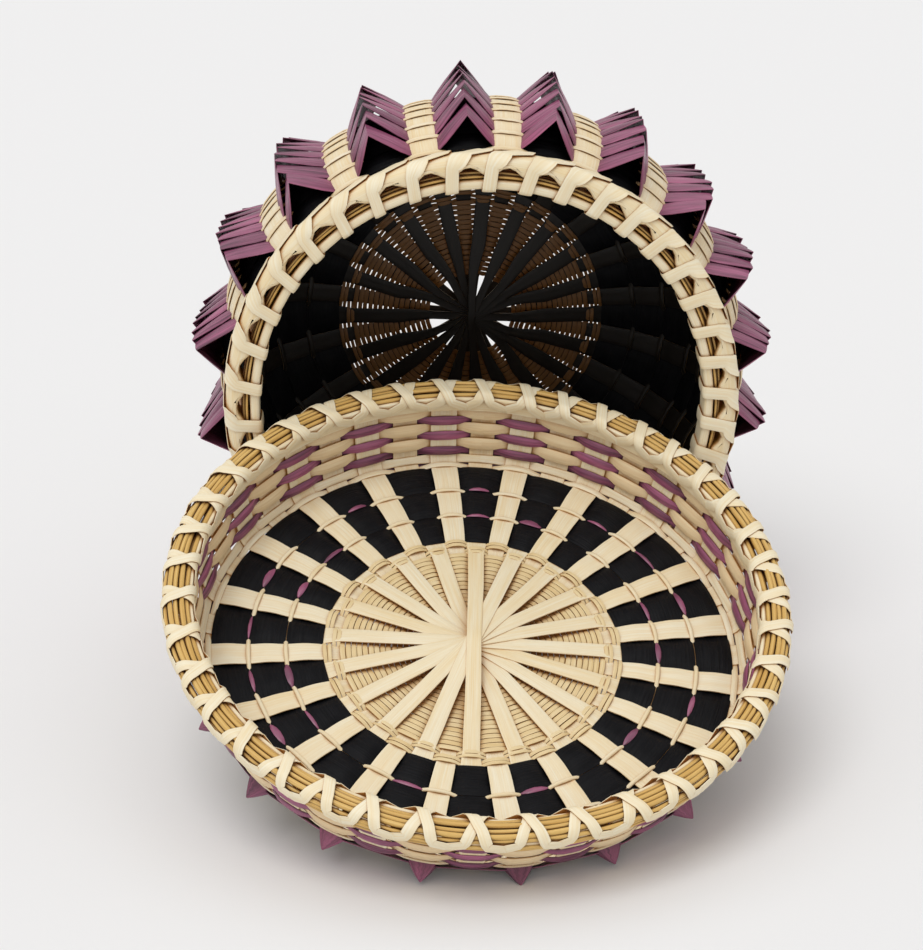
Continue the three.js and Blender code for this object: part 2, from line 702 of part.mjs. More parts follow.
// The lid's wall: purple and natural weavers by turns
const lidWallStart = lidFloorRadius + LID_CORNER_RADIUS * lidCornerTurn;
const lidWallPitch = (lidRim.weaveTop - lidWallStart) / LID_WALL_ROWS;
for (let i = 0; i < LID_WALL_ROWS; i += 1) {
  const from = lidWallStart + i * lidWallPitch + CLEARANCE / 2;
  const section = weaverSection(lidProfile, from, from + lidWallPitch - CLEARANCE);
  const number = Math.floor(i / 2) + 1;
  const dye = i % 2 === 0 ? 'purple' : 'natural';
  const name = `lid_${dye}_weaver_${number}`;
  addPiece(lidGroup, name, ring(lidSpread.inner, section), dye);
}
addRim(lidGroup, 'lid', lidRim);
addLashing(lidGroup, 'lid_rim_lashing_right', lidSpread, lidRim, { layer: 0, clockwise: true });
addLashing(lidGroup, 'lid_rim_lashing_left', lidSpread, lidRim, { layer: 1, clockwise: false });

// Both pieces are laid down and set on the floor
place(basketGroup, new THREE.Vector3(), MOUTH_DIRECTION, new THREE.Vector3(0, 0, 1));
basketGroup.position.addScaledVector(MOUTH_DIRECTION, -BASKET_HEIGHT / MOUTH_DIRECTION.length());
const lidStart = new THREE.Vector3(-LID_TO_THE_LEFT, -lidRim.outerRadius, 0);
place(lidGroup, lidStart, LID_UP, new THREE.Vector3(0, 1, 0));
for (const group of [basketGroup, lidGroup]) {
  group.position.z -= new THREE.Box3().setFromObject(group, true).min.z;
}

// The lid slides back over the floor until it leans on the basket's rim
const solidsOf = (group) => {
  group.updateMatrixWorld(true);
  return wasm.Manifold.compose(group.children.map((mesh) => {
    return toSolid(mesh.geometry).transform(mesh.matrixWorld.toArray());
  }));
};
const [basketSolids, lidSolids] = [basketGroup, lidGroup].map(solidsOf);
let slide = 0;
let way = SLIDE_STEP;
while (way > SEATED_WITHIN) {
  way = lidSolids.translate([0, slide, 0]).minGap(basketSolids, SLIDE_STEP) - CLEARANCE;
  slide += way;
}
lidGroup.position.y += slide;

// The whole is centred over the origin
assembly.updateMatrixWorld(true);
const whole = new THREE.Box3().setFromObject(assembly, true);
const middle = whole.getCenter(new THREE.Vector3());
assembly.position.set(-middle.x, -middle.y, 0);

export default assembly;
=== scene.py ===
import json
import math
import random

import bpy
from mathutils import Matrix, Vector, noise


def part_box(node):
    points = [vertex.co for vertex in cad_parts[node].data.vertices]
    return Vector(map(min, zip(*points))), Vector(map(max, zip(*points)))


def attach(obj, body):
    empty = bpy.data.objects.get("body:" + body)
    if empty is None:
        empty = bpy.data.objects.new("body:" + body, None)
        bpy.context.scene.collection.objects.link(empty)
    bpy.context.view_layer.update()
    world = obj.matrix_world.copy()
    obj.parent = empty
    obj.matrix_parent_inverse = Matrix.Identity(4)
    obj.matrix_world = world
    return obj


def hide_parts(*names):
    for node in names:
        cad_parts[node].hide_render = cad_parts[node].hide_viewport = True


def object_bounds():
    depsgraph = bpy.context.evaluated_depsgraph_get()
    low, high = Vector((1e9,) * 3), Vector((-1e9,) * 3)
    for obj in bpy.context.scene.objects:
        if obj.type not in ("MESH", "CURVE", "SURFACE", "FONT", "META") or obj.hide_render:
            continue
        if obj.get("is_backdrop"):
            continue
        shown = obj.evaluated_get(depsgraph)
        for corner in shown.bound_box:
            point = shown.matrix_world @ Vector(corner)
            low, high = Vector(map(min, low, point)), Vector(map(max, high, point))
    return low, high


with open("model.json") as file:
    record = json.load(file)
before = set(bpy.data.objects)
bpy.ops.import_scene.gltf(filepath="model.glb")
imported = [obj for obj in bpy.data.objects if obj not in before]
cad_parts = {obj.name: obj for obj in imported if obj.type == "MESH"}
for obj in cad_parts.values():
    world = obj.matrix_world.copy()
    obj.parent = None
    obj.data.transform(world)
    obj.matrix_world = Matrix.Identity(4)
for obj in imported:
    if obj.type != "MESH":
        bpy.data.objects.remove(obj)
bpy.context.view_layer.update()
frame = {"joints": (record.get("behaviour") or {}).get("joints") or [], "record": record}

# The viewer stands in front of the basket's mouth and looks down on both pieces.
# Lens and place are those that make the two rims fall where the photograph has them.
viewer = bpy.data.objects.new("viewer", bpy.data.cameras.new("viewer"))
bpy.context.scene.collection.objects.link(viewer)
bpy.context.scene.camera = viewer
viewer.data.sensor_width = 36
viewer.data.lens = 102.05
viewer.data.clip_end = 20
LOOKS_DOWN = 22
viewer.location = (-0.00604, -0.9444, 0.4825)
viewer.rotation_euler = (math.radians(90 - LOOKS_DOWN), 0, 0)

# The basket body is woven on forty standards, thin strips of black ash that run from the middle
# of the bottom to the rim: twenty lie on the outside and twenty on the inside of the wide
# weavers. Its sizes are in millimetres about its own axis, from the bottom to the mouth.
MILLIMETRE = 0.001
STANDARDS = 20
HALF_PITCH = 180 / STANDARDS
LINE_PAST_RIM = 1000.0
SLACK_AZIMUTH = -108
SLACK_HALF_WIDTH = 75
SLACK_GROWS_FROM, SLACK_GROWS_OVER = 15, 40
SLACK_FADES_FROM, SLACK_FADES_OVER = 74, 28


def polar(azimuth, radius, height):
    angle = math.radians(azimuth)
    return Vector((radius * math.sin(angle), radius * math.cos(angle), height))


def lying(base, up, top):
    """Places millimetres about a woven piece's own axis in the frame's metres."""
    z = up.normalized()
    y = (top - top.dot(z) * z).normalized()
    turn = Matrix((y.cross(z), y, z)).transposed().to_4x4()
    return Matrix.Translation(base) @ turn @ Matrix.Scale(MILLIMETRE, 4)


class Woven:
    """The lines that the basket or the lid is woven on."""

    def __init__(self, body, place, height, stretches, start, swing, towards, rows, slack=0.0):
        self.body = body
        self.place = place
        self.slack = slack
        self.height = height
        self.stretches = stretches
        self.rows = rows
        self.outside = []
        for k in range(STANDARDS):
            even = k * 2 * HALF_PITCH
            self.outside.append(even + start + swing * math.cos(math.radians(even - towards)))
        self.following = self.outside[1:] + [self.outside[0] + 360]
        self.inside = [(a + b) / 2 for a, b in zip(self.outside, self.following)]
        self.gaps = []
        for a, b, c in zip(self.outside, self.inside, self.following):
            self.gaps += [(a + b) / 2, (b + c) / 2]

    def line(self, distance):
        """Radius, height and outward direction of the wall at a distance from the centre."""
        radius, height, heading, left = 0.0, self.height, 0.0, distance
        for length, turn in self.stretches + [(LINE_PAST_RIM, 0.0)]:
            run = min(left, length)
            bend = turn * run / length
            chord = run if abs(bend) < 1e-9 else run * math.sin(bend / 2) / (bend / 2)
            radius += chord * math.cos(heading + bend / 2)
            height += chord * math.sin(heading + bend / 2)
            heading += bend
            left -= run
            if left <= 0:
                break
        return radius, height, math.sin(heading), -math.cos(heading)

    def at(self, azimuth, distance, out):
        """A place that stands out from the wall, with the directions up the wall and outwards."""
        radius, height, out_r, out_z = self.line(distance)
        place = polar(azimuth, radius + out * out_r, height + out * out_z)
        return place, polar(azimuth, -out_z, out_r), polar(azimuth, out_r, out_z)

    def settled(self, point):
        """The basket isn't quite round: low on its left side the belly has sunk in a little."""
        azimuth = math.degrees(math.atan2(point.x, point.y))
        off = abs((azimuth - SLACK_AZIMUTH + 180) % 360 - 180)
        share = math.cos(math.radians(90 * min(1, off / SLACK_HALF_WIDTH))) ** 2
        fades = reached(point.z, SLACK_FADES_FROM, SLACK_FADES_OVER)
        share *= reached(point.z, SLACK_GROWS_FROM, SLACK_GROWS_OVER) * (1 - fades)
        pull = 1 - self.slack * share / max(1, math.hypot(point.x, point.y))
        return Vector((point.x * pull, point.y * pull, point.z))

    def row_wave(self, distance):
        """1 where a thin weaver crosses the standards and -1 halfway between two of them."""
        for low, high in zip(self.rows, self.rows[1:]):
            if low <= distance <= high:
                return math.cos(2 * math.pi * (distance - low) / (high - low))
        return 1.0

    def stations(self, steps):
        """Azimuths round the wall with a wave that is -1 at outside and 1 at inside standards."""
        around = []
        for k in range(STANDARDS):
            ends = (self.outside[k], self.inside[k], self.following[k])
            for half, (a, b) in enumerate(zip(ends, ends[1:])):
                for i in range(steps):
                    wave = -math.cos(math.pi * (half + i / steps))
                    around.append((a + (b - a) * i / steps, wave * (1.5 - 0.5 * wave * wave)))
        return around


BASKET_BASE = frame["record"]["mounts"][0]
FLAT_FLOOR = (49.7, 0.0)
BOWL_RADIUS = 56.3
BOWL = (BOWL_RADIUS * math.pi / 2, math.pi / 2)
STRAIGHT_BELLY = (6.8, 0.0)
SHOULDER = (38.2, 0.732)
NECK = (2.2, -0.732)
WIDE_ROWS = [56, 70, 84]
WALL_ROWS_FROM = 98
WALL_ROW = 8.6
basket = Woven(
    body="basket",
    place=lying(Vector(BASKET_BASE["pos_m"]), -Vector(BASKET_BASE["axis"]), Vector((0, 0, 1))),
    height=4.9,
    stretches=[FLAT_FLOOR, BOWL, STRAIGHT_BELLY, SHOULDER, NECK],
    start=0.6, swing=5.4, towards=7, slack=5.0,
    rows=WIDE_ROWS + [WALL_ROWS_FROM + WALL_ROW * i for i in range(11)],
)
HUB_TO_RIM = 191


class Bundle:
    """Splints of one colour, woven together into one piece."""

    def __init__(self, seed, painted_inside_share=0.0):
        self.chance = random.Random(seed)
        self.painted_inside_share = painted_inside_share
        self.points, self.faces, self.grain, self.tones, self.painted_inside_values = [], [], [], [], []

    def lay(self, loops, closed=False, tone=None):
        """Adds one splint, given as the loops of points round it from one end to the other."""
        tone = self.chance.random() if tone is None else tone
        start, corners = len(self.points), len(loops[0])
        shift = (self.chance.random() * 400, self.chance.random() * 400)
        around = [0.0]
        for a, b in zip(loops[0], loops[0][1:] + loops[0][:1]):
            around.append(around[-1] + (b - a).length)
        for loop in loops:
            self.points += loop
            self.tones += [tone] * corners
            # The inward half of each loop's corners gets the painted inside share: painted shade
            # that darkens the basket's inside.
            self.painted_inside_values += [0.0] * (corners - corners // 2) + [self.painted_inside_share] * (corners // 2)
        spans = len(loops) if closed else len(loops) - 1
        run = shift[1]
        for i in range(spans):
            nearer, further = loops[i], loops[(i + 1) % len(loops)]
            ahead = run + (further[0] - nearer[0]).length
            here, there = start + i * corners, start + (i + 1) % len(loops) * corners
            for j in range(corners):
                k = (j + 1) % corners
                self.faces.append((here + j, here + k, there + k, there + j))
                left, right = shift[0] + around[j], shift[0] + around[j + 1]
                self.grain += [left, run, right, run, right, ahead, left, ahead]
            run = ahead
        if not closed:
            last = start + (len(loops) - 1) * corners
            self.faces.append(tuple(range(start + corners - 1, start - 1, -1)))
            self.faces.append(tuple(range(last, last + corners)))
            for j in list(range(corners - 1, -1, -1)) + list(range(corners)):
                self.grain += [shift[0] + around[j], run]

    def piece(self, name, woven, slot, finish, nodes, sharp=42):
        """Makes the bundle a piece that rides on the woven body and stands for nodes."""
        mesh = bpy.data.meshes.new(name)
        mesh.from_pydata([woven.settled(point) for point in self.points], [], self.faces)
        mesh.uv_layers.new(name="grain").data.foreach_set("uv", self.grain)
        mesh.attributes.new("tone", "FLOAT", "POINT").data.foreach_set("value", self.tones)
        mesh.attributes.new("painted_inside_mask", "FLOAT", "POINT").data.foreach_set("value", self.painted_inside_values)
        mesh.transform(woven.place)
        mesh.materials.append(finish)
        mesh.polygons.foreach_set("use_smooth", [True] * len(mesh.polygons))
        mesh.set_sharp_from_angle(angle=math.radians(sharp))
        mesh.update()
        made = bpy.data.objects.new(name, mesh)
        bpy.context.scene.collection.objects.link(made)
        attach(made, woven.body)
        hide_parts(*nodes)


def flat_loop(row, thickness):
    """The loop round a flat splint, whose edges are shaved thinner than its middle."""
    last = len(row) - 1
    over, under = [], []
    for j, (point, face) in enumerate(row):
        half = face * (thickness / 2 * (0.45 if j in (0, last) else 1))
        over.append(point + half)
        under.append(point - half)
    return over + under[::-1]


def round_loop(centre, side, face, width, height, corners=8):
    """The loop round a split round strand."""
    loop = []
    for j in range(corners):
        angle = 2 * math.pi * (j + 0.5) / corners
        across, up = math.cos(angle) * width / 2, math.sin(angle) * height / 2
        loop.append(centre + side * across + face * up)
    return loop


def grown(a, b, share):
    """The way from a to b at a share that stops at 0 and at 1."""
    return a + (b - a) * min(1, max(0, share))


def reached(value, start, over):
    """0 up to the start and 1 from as far past it as over says."""
    return min(1, max(0, (value - start) / over))


def node(tree, kind, settings=(), **sockets):
    """Adds a shader node with its settings, and gives its sockets a value or a link."""
    made = tree.nodes.new(kind)
    for name, value in settings:
        setattr(made, name, value)
    for name, value in sockets.items():
        socket = made.inputs[name.replace("_", " ")]
        if isinstance(value, bpy.types.NodeSocket):
            tree.links.new(value, socket)
        else:
            socket.default_value = value
    return made


def times_and_more(tree, socket, factor, more):
    """A value times a factor, with another value on top of it."""
    made = node(tree, "ShaderNodeMath", [("operation", "MULTIPLY_ADD")])
    tree.links.new(socket, made.inputs[0])
    made.inputs[1].default_value = factor
    tree.links.new(more, made.inputs[2])
    return made.outputs[0]


def ramp(tree, socket, low, high):
    """0 where a value is low and 1 where it is high."""
    made = node(tree, "ShaderNodeMapRange", Value=socket)
    for place, value in zip((1, 2, 3, 4), (low, high, 0.0, 1.0)):
        made.inputs[place].default_value = value
    return made.outputs[0]


def blend(tree, factor, first, second):
    """A colour between two, each given as a colour or as another node's output."""
    made = node(tree, "ShaderNodeMix", [("data_type", "RGBA")])
    tree.links.new(factor, made.inputs["Factor"])
    for place, colour in ((6, first), (7, second)):
        if isinstance(colour, bpy.types.NodeSocket):
            tree.links.new(colour, made.inputs[place])
        else:
            made.inputs[place].default_value = (*colour, 1)
    return made.outputs[2]


BAND_WEIGHT = 0.45
STREAKS_FROM, STREAKS_TO = 0.52, 0.92
OWN_TONE = 0.4
STREAK_STRENGTH = 0.7
PAINTED_SHADE_REACH = 0.009
PAINTED_SHADE_FROM, PAINTED_SHADE_TO = 0.17, 0.83
FIBRE_HEIGHT = 0.0004


def ash(name, pale, streak, deep, roughness, lines, relief, gloss=0.4, painted_inside_shade=None):
    """Finish of an ash splint: straight grain along it, a tone of its own and painted shade in
    hollows.
    """
    finish = bpy.data.materials.new(name)
    finish.use_nodes = True
    tree = finish.node_tree
    shader = tree.nodes["Principled BSDF"]
    across, along = lines
    grain = node(tree, "ShaderNodeUVMap", [("uv_map", "grain")]).outputs[0]
    stretched = node(tree, "ShaderNodeMapping", Vector=grain, Scale=(across, along, 1))
    fibres = node(tree, "ShaderNodeTexNoise", Vector=stretched.outputs[0],
                  Scale=1, Detail=5, Roughness=0.6)
    broad = node(tree, "ShaderNodeMapping", Vector=grain, Scale=(across / 6, along * 1.5, 1))
    bands = node(tree, "ShaderNodeTexNoise", Vector=broad.outputs[0],
                 Scale=1, Detail=2, Roughness=0.5)
    own = node(tree, "ShaderNodeAttribute", [("attribute_name", "tone")])
    mixed = times_and_more(tree, bands.outputs[0], BAND_WEIGHT, fibres.outputs[0])
    share = ramp(tree, mixed, STREAKS_FROM, STREAKS_TO)
    toned = times_and_more(tree, own.outputs["Fac"], OWN_TONE, share)
    spread = node(tree, "ShaderNodeMath", [("operation", "MULTIPLY")])
    tree.links.new(toned, spread.inputs[0])
    spread.inputs[1].default_value = STREAK_STRENGTH
    wood = blend(tree, spread.outputs[0], pale, streak)
    # Painted shade: where ambient occlusion finds other splints close by, the colour turns towards
    # the deep colour, in place of the shadow and warm bounce light in creases.
    painted_shade_occlusion = node(tree, "ShaderNodeAmbientOcclusion", [("samples", 6)], Distance=PAINTED_SHADE_REACH)
    unshaded_share = ramp(tree, painted_shade_occlusion.outputs["AO"], PAINTED_SHADE_FROM, PAINTED_SHADE_TO)
    colour = blend(tree, unshaded_share, deep, wood)
    # Painted shade: where a face looks into the basket, the colour turns towards a near-black one,
    # in place of the shadow inside the basket.
    if painted_inside_shade:
        side = node(tree, "ShaderNodeAttribute", [("attribute_name", "painted_inside_mask")])
        colour = blend(tree, side.outputs["Fac"], colour, painted_inside_shade)
    tree.links.new(colour, shader.inputs["Base Color"])
    shader.inputs["Roughness"].default_value = roughness
    shader.inputs["Specular IOR Level"].default_value = gloss
    ridges = node(tree, "ShaderNodeBump", Height=fibres.outputs[0],
                  Strength=relief, Distance=FIBRE_HEIGHT)
    tree.links.new(ridges.outputs[0], shader.inputs["Normal"])
    return finish


# Its deep colour is painted shade for creases, and its near-black inside colour is painted shade
# for the inward faces of the basket's splints, whose own colour is the natural one.
natural_ash = ash(
    "natural_ash", pale=(0.92, 0.85, 0.66), streak=(0.84, 0.65, 0.35), deep=(0.55, 0.24, 0.035),
    roughness=0.5, lines=(1.6, 0.03), relief=0.3, painted_inside_shade=(0.01, 0.006, 0.003),
)

FULL_ACROSS = (-1, -0.86, -0.3, 0.3, 0.86, 1)
STANDARD_THICKNESS = 0.9
STANDARD_CUP = 0.16
HUB_WIDTH = 5.4
FINE_MIDDLE = 50
FLOOR_FROM = 58
WALL_FROM = 96
CHANGE_FROM, CHANGE_OVER = 49, 8
BARE_HUB = 34
LAYER_OUT = 0.55
LAYER_PULL = 0.22


def standard_width(distance, middle, floor, full):
    """Splints are cut slim for the middle, and widen over the floor towards the wall."""
    if distance < FINE_MIDDLE:
        return grown(HUB_WIDTH, middle, distance / FINE_MIDDLE)
    if distance < FLOOR_FROM:
        return grown(middle, floor, (distance - FINE_MIDDLE) / (FLOOR_FROM - FINE_MIDDLE))
    return grown(floor, full, (distance - FLOOR_FROM) / (WALL_FROM - FLOOR_FROM))


def changeover(distance):
    """0 in the fine middle and 1 beyond it: in between, the two layers change places."""
    t = reached(distance, CHANGE_FROM, CHANGE_OVER)
    return t * t * (3 - 2 * t)


SLIT_PUSH = 6.5
SLIT_SPREAD = 13
SLIT_FULL_FROM = 7
SLIT_CLOSES_FROM, SLIT_CLOSES_OVER = 18, 14
SLIM_AT_SLITS = 0.6
SLIM_UNTIL, SLIM_OVER = 16, 14
STANDARD_STEP = 2.0
HUB_STEPS = 2
STANDARD_STRAYS = 0.5


def parted(azimuth, distance, slits):
    """Near the hub the standards stand apart where daylight comes through the basket's bottom."""
    push = 0.0
    for slit in slits:
        off = (azimuth - slit + 180) % 360 - 180
        push += math.copysign(SLIT_PUSH * math.exp(-(off / SLIT_SPREAD) ** 2), off)
    near = min(1, distance / SLIT_FULL_FROM)
    return azimuth + push * near * (1 - reached(distance, SLIT_CLOSES_FROM, SLIT_CLOSES_OVER))


def long_splints(bundle, woven, azimuths, lift, widths, reach, topmost=1, slits=()):
    """Ten splints laid across each other at the hub, each of which makes two standards."""
    slim = SLIM_AT_SLITS if slits else 1
    for j in range(STANDARDS // 2):
        pile = j / (STANDARDS // 2 - 1)
        pile = pile if topmost > 0 else 1 - pile
        ends = azimuths[j], azimuths[j + STANDARDS // 2]
        own = 1 + bundle.chance.uniform(-0.04, 0.04)
        seed = bundle.chance.random() * 100
        count = round(reach / STANDARD_STEP)
        loops = []
        for i in range(-count, count + 1):
            distance = abs(i) * reach / count
            radius, height, out_r, out_z = woven.line(distance)
            uneven = noise.noise(Vector((seed, i * 0.06, 0)))
            stray = STANDARD_STRAYS * uneven * min(1, distance / 40)
            azimuth = ends[0] if i < 0 else ends[1]
            azimuth = parted(azimuth, distance, slits)
            out = lift(distance, pile)
            middle = polar(azimuth, radius + out * out_r, height + out * out_z)
            side = polar(azimuth + 90, 1, 0) * (1 if i < 0 else -1)
            face = polar(azimuth, out_r, out_z)
            if abs(i) <= HUB_STEPS:
                swung = grown(ends[0], ends[1] - 180, (i + HUB_STEPS) / (2 * HUB_STEPS))
                side = polar(swung + 90, 1, 0)
                middle = polar(swung, -i * reach / count, height + out * out_z)
            slimmed = grown(slim, 1, (distance - SLIM_UNTIL) / SLIM_OVER)
            width = standard_width(distance, *widths) * own * slimmed
            row = []
            for x in FULL_ACROSS:
                cup = STANDARD_CUP * (1 - x * x)
                row.append((middle + side * (x * width / 2 + stray) + face * cup, face))
            loops.append(flat_loop(row, STANDARD_THICKNESS))
        bundle.lay(loops)


MIDDLE_OVER, MIDDLE_UNDER = 0.95, 0.75
HUB_OVER = 1.4
PILE_SLOPE = 1.4


def outside_lift(woven, rise):
    """Outside standards lie on the inside of the fine middle, and cross in a pile over it."""
    def lift(distance, pile):
        slope = 1 - reached(distance, 0, FINE_MIDDLE)
        middle = -MIDDLE_OVER - slope * (HUB_OVER + rise * pile)
        share = changeover(distance)
        woven_in = LAYER_OUT - LAYER_PULL * woven.row_wave(distance)
        return middle * (1 - share) + woven_in * share
    return lift


def inside_lift(woven, rise):
    """Inside standards carry the fine middle from below, and come up where it ends."""
    def lift(distance, pile):
        middle = MIDDLE_UNDER + rise * pile * (1 - reached(distance, 0, BARE_HUB)) ** PILE_SLOPE
        share = changeover(distance)
        woven_in = LAYER_OUT - LAYER_PULL * woven.row_wave(distance)
        return middle * (1 - share) - woven_in * share
    return lift


DAYLIGHT = (-101, -74, -40, 16, 31, 82, 105, 145)
INSIDE_WIDTHS = (6.0, 7.4, 9.2)
OUTSIDE_WIDTHS = (6.2, 8.4, 11.4)
# The standards' inward sides are painted fully dark: painted shade for the inside of the basket.
inside = Bundle(11, painted_inside_share=1.0)
long_splints(inside, basket, basket.inside, inside_lift(basket, rise=3.4), INSIDE_WIDTHS,
             HUB_TO_RIM, slits=DAYLIGHT)
inside.piece("basket_inside_standards", basket, "natural_ash", natural_ash,
             ["basket_inner_splints"])
outside = Bundle(12, painted_inside_share=1.0)
long_splints(outside, basket, basket.outside, outside_lift(basket, rise=5), OUTSIDE_WIDTHS,
             HUB_TO_RIM, topmost=-1, slits=DAYLIGHT)
outside.piece("basket_outside_standards", basket, "natural_ash", natural_ash,
              ["basket_outer_splints"])

# The middle of the bottom is woven with fine natural strands between the two layers, and its
# last four rows hold the standards of both layers apart.
FINE_FROM = 18.5
FINE_TO = 49.7
FINE_PITCH = 2.2
FINE_WIDTH = 2.15
FINE_THICKNESS = 0.8
FINE_SWING = 0.5
EDGE_FROM = 50.3
EDGE_PITCH = 1.75
EDGE_WIDTH = 1.7
EDGE_SWING = 1.3


def fine_rows(bundle, woven):
    """Fine strands round and round, and four more that hold the standards of both layers."""
    radius = FINE_FROM
    while radius < FINE_TO:
        add_fine(bundle, woven, radius, -FINE_SWING, FINE_WIDTH)
        radius += FINE_PITCH * bundle.chance.uniform(0.94, 1.06)
    for i, sign in enumerate((1, 1, -1, -1)):
        add_fine(bundle, woven, EDGE_FROM + EDGE_PITCH * i, EDGE_SWING * sign, EDGE_WIDTH)


def add_fine(bundle, woven, distance, swing, width):
    """One strand once round; it is pinched beside each standard that it dives under."""
    seed = bundle.chance.random() * 100
    loops = []
    for azimuth, wave in woven.stations(6):
        stray = 0.2 * noise.noise(Vector((seed, azimuth * 0.08, 0)))
        out = swing * wave + 0.1 * noise.noise(Vector((azimuth * 0.1, seed, 0)))
        centre, side, face = woven.at(azimuth, distance + stray, out)
        pinched = width * (0.93 + 0.07 * abs(wave))
        loops.append(round_loop(centre, side, face, pinched, FINE_THICKNESS, corners=6))
    bundle.lay(loops, closed=True)


# Its deep colour is painted shade for creases. Its dark brown inside colour is painted shade on the
# inward faces of the bottom's strands, kept warm for light glowing through the weave.
strand_ash = ash(
    "strand_ash", pale=(0.88, 0.74, 0.46), streak=(0.74, 0.53, 0.24), deep=(0.42, 0.17, 0.02),
    roughness=0.5, lines=(1.6, 0.03), relief=0.3, painted_inside_shade=(0.2, 0.08, 0.016),
)
# The strands' inward sides are painted almost fully dark: painted shade for the basket's inside.
centre = Bundle(13, painted_inside_share=0.96)
fine_rows(centre, basket)
centre.piece("basket_bottom_weave", basket, "natural_ash", strand_ash,
             ["basket_centre_disc"], sharp=60)

# The wide weavers are ash splints dyed black. They go behind every outside standard and in
# front of every inside one, so that outside and inside each show half of them.
# Its deep colour is painted shade for creases.
black_ash = ash(
    "black_ash", pale=(0.003, 0.003, 0.004), streak=(0.011, 0.011, 0.013),
    deep=(0.001, 0.001, 0.001), roughness=0.42, lines=(1.5, 0.05), relief=0.9, gloss=0.09,
)
WEAVER_ACROSS = (-1, -0.8, -0.4, 0, 0.4, 0.8, 1)
BLACK_ROWS_IN_SOLIDS = 12
THIN_ROWS_IN_SOLIDS = 11
SLACK_BETWEEN_ROWS = 0.1
WIDE_SWING = 0.35
WRINKLES = 0.5


def wide_weaver(bundle, woven, low, high, swing, puff, thickness=0.5, steps=5, away=0.0):
    """A flat weaver that goes once round, and puffs out where nothing holds it down."""
    seed = bundle.chance.random() * 100
    lines = [(x, (low + high) / 2 + x * (high - low) / 2) for x in WEAVER_ACROSS]
    loops = []
    for azimuth, wave in woven.stations(steps):
        wrinkle = 1 + WRINKLES * noise.noise(Vector((seed, azimuth * 0.11, 0)))
        row = []
        for x, distance in lines:
            out = away + wave * (swing + puff * wrinkle * (1 - x * x))
            place, _, face = woven.at(azimuth, distance, out)
            row.append((place, face))
        loops.append(flat_loop(row, thickness))
    bundle.lay(loops, closed=True)


for i, (low, high) in enumerate(zip(basket.rows, basket.rows[1:])):
    row = Bundle(100 + i)
    wide_weaver(row, basket, low + SLACK_BETWEEN_ROWS, high - SLACK_BETWEEN_ROWS,
                WIDE_SWING, puff=0.7)
    stands_for = [f"basket_black_weaver_{i + 1}"] if i < BLACK_ROWS_IN_SOLIDS else []
    row.piece(f"basket_black_weaver_row_{i + 1}", basket, "black_ash", black_ash, stands_for)

# Between two wide weavers runs a thin natural one. It crosses over the outside standards and
# dives behind the inside ones, and it holds the wide weavers down.
def thin_weaver(bundle, woven, distance, swing, width, height):
    """A strand that goes once round, over the outside standards and under the inside ones."""
    seed = bundle.chance.random() * 100
    loops = []
    for azimuth, wave in woven.stations(6):
        stray = 0.5 * noise.noise(Vector((seed, azimuth * 0.05, 0)))
        centre, side, face = woven.at(azimuth, distance + stray, -wave * swing)
        loops.append(round_loop(centre, side, face, width, height))
    bundle.lay(loops, closed=True)


for i, distance in enumerate(basket.rows[1:-1]):
    # Their inward sides are painted dark: painted shade for the basket's inside.
    row = Bundle(200 + i, painted_inside_share=0.99)
    thin_weaver(row, basket, distance, swing=1.45, width=2.1, height=1.1)
    stands_for = [f"basket_thin_weaver_{i + 1}"] if i < THIN_ROWS_IN_SOLIDS else []
    row.piece(f"basket_thin_weaver_row_{i + 1}", basket, "natural_ash", natural_ash,
              stands_for, sharp=60)

# The points are strips of purple ash. Each comes out from under an outside standard, is folded
# over the black weaver to a sharp point, and goes back under the next standard.
# Its deep colour is painted shade for the creases between the folded points.
purple_ash = ash(
    "purple_ash", pale=(0.5, 0.14, 0.27), streak=(0.05, 0.01, 0.03), deep=(0.03, 0.005, 0.016),
    roughness=0.33, lines=(0.9, 0.03), relief=0.8, gloss=0.6,
)
POINT_ROWS = 9
POINT_WIDTH = 9.5
POINT_ACROSS = (-1, -0.7, -0.25, 0.25, 0.7, 1)
POINT_SHARES = (0, 0.12, 0.3, 0.55, 0.8, 0.93, 1)
POINT_TUCK = 4.9
POINT_RISE = 0.3
POINT_CROWN = 0.75
SIDE_REACH = 12.1
MORE_ON_TOP = 2.1
PRESSED_BELOW = 1.8
SIDE_REACH_AT, REACH_GROWS, LEAST_TOWARDS_RIM = 152, 0.11, -2.2


def basket_reach(azimuth, middle):
    """The points stand out further at the top, less so where the basket lies on them."""
    upwards, sideways = math.cos(math.radians(azimuth)), abs(math.sin(math.radians(azimuth)))
    pressed = PRESSED_BELOW * max(0, -upwards) ** 4
    towards_rim = max(LEAST_TOWARDS_RIM, REACH_GROWS * (middle - SIDE_REACH_AT))
    return SIDE_REACH + MORE_ON_TOP * upwards - pressed + sideways * towards_rim


